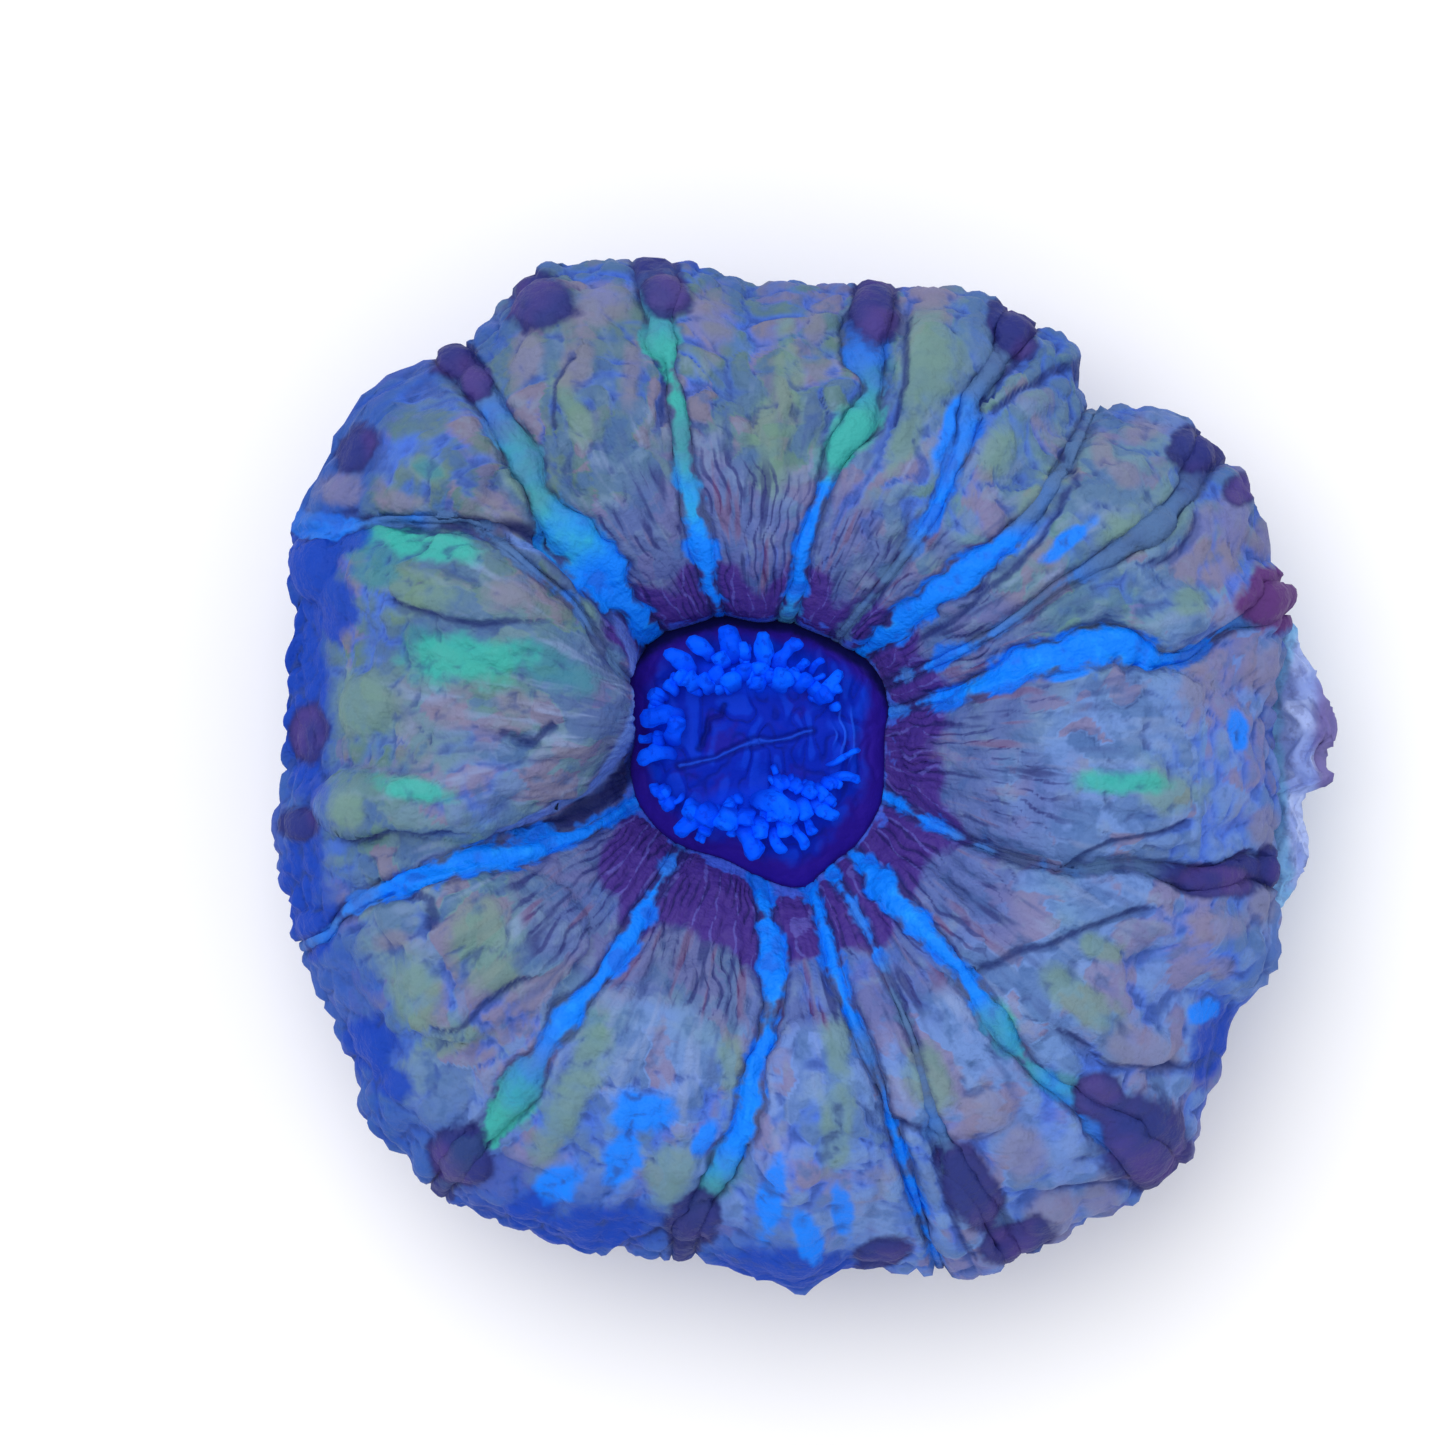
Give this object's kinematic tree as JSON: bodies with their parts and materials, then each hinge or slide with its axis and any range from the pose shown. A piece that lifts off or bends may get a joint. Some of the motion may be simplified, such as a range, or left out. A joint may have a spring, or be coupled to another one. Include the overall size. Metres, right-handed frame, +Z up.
{
  "type": "cynarina coral",
  "caption": "Single inflated button coral polyp with puffy radial lobes around a sunken disc and mouth, on a flat-cut stony skeleton.",
  "frame": {"origin": "centre of the flat cut under the skeleton, below the mouth", "axes": "+Z up out of the mouth, +X towards the side where the toothed rim of the skeleton is bare"},
  "size_m": [0.1071, 0.104, 0.0401],
  "materials": {
    "flesh": "soft moist tissue, pebbled, mottled slate, cyan, mint and purple",
    "skeleton": "porous pale limestone under a thin lavender film of tissue"
  },
  "bodies": {
    "root": {"polyp": "flesh", "skeleton": "skeleton"}
  },
  "joints": []
}
